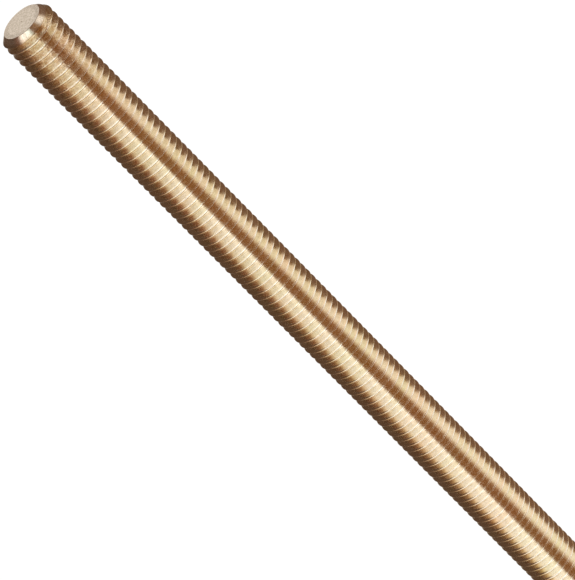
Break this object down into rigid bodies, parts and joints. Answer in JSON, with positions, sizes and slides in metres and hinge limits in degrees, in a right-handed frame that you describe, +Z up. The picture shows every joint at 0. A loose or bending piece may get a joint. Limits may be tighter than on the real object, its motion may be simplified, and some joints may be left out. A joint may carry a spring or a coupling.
{
  "type": "threaded rod",
  "caption": "Straight metal rod with a continuous right-hand external thread from end to end and a chamfer at each end.",
  "frame": {"origin": "on the rod's axis, halfway between its two end faces", "axes": "+X along the rod's axis, +Z up, +Y across; the rod is round, so Y and Z are alike"},
  "size_m": [0.3048, 0.0158, 0.0158],
  "materials": {
    "brass": "bright rolled thread with fine marks that follow it; turned, paler chamfers and end faces"
  },
  "bodies": {
    "root": {"threaded_rod": "brass"}
  },
  "joints": []
}
